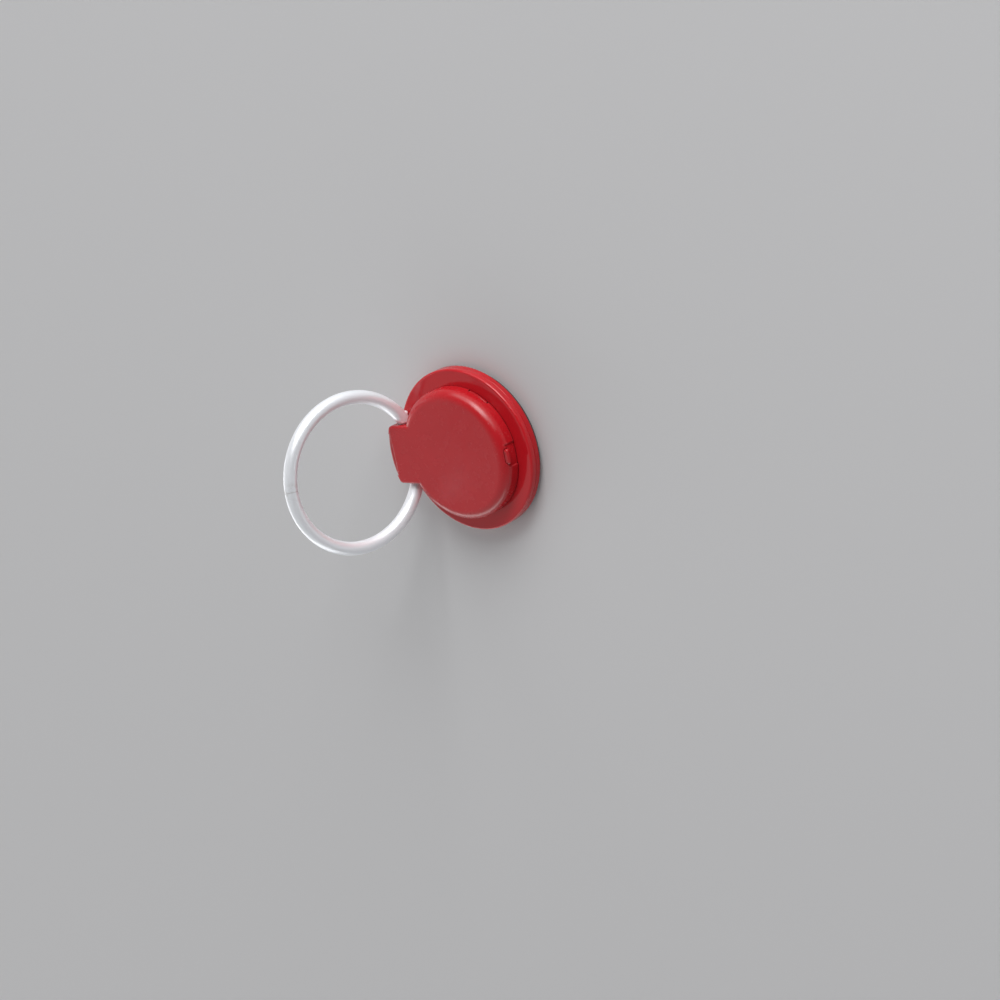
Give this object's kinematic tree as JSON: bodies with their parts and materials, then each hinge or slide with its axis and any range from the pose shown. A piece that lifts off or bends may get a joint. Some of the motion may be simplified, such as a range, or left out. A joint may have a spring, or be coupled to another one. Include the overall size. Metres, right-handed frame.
{
  "type": "phone ring holder",
  "caption": "Finger ring and stand for the back of a phone: a round adhesive base, a turntable cap with a hinge tab, and a metal ring that flips open on it.",
  "frame": {"origin": "centre of the adhesive pad's back face, which lies on the phone", "axes": "+Z away from the phone along the turntable's axis, -X from the centre towards the hinge tab, Y along the hinge pin"},
  "size_m": [0.038, 0.0332, 0.0341],
  "materials": {
    "red_shell": "glossy moulded red plastic",
    "ring_metal": "satin silver plated steel rod",
    "adhesive": "matt black foam adhesive"
  },
  "bodies": {
    "base": {"adhesive_pad": "adhesive", "base_plate": "red_shell", "base_cover": "red_shell"},
    "turntable": {"swivel_carrier": "red_shell", "cap_shell": "red_shell"},
    "ring": {"finger_ring": "ring_metal"}
  },
  "joints": [
    {"name": "turntable_spin", "type": "hinge", "parent": "base", "child": "turntable", "pos_m": [0, 0, 0.0035], "axis": [0, 0, 1], "continuous": true},
    {"name": "ring_flip", "type": "hinge", "parent": "turntable", "child": "ring", "pos_m": [-0.01345, 0, 0.00506], "axis": [0, -1, 0], "range_deg": [-103.3, 76.7]}
  ]
}
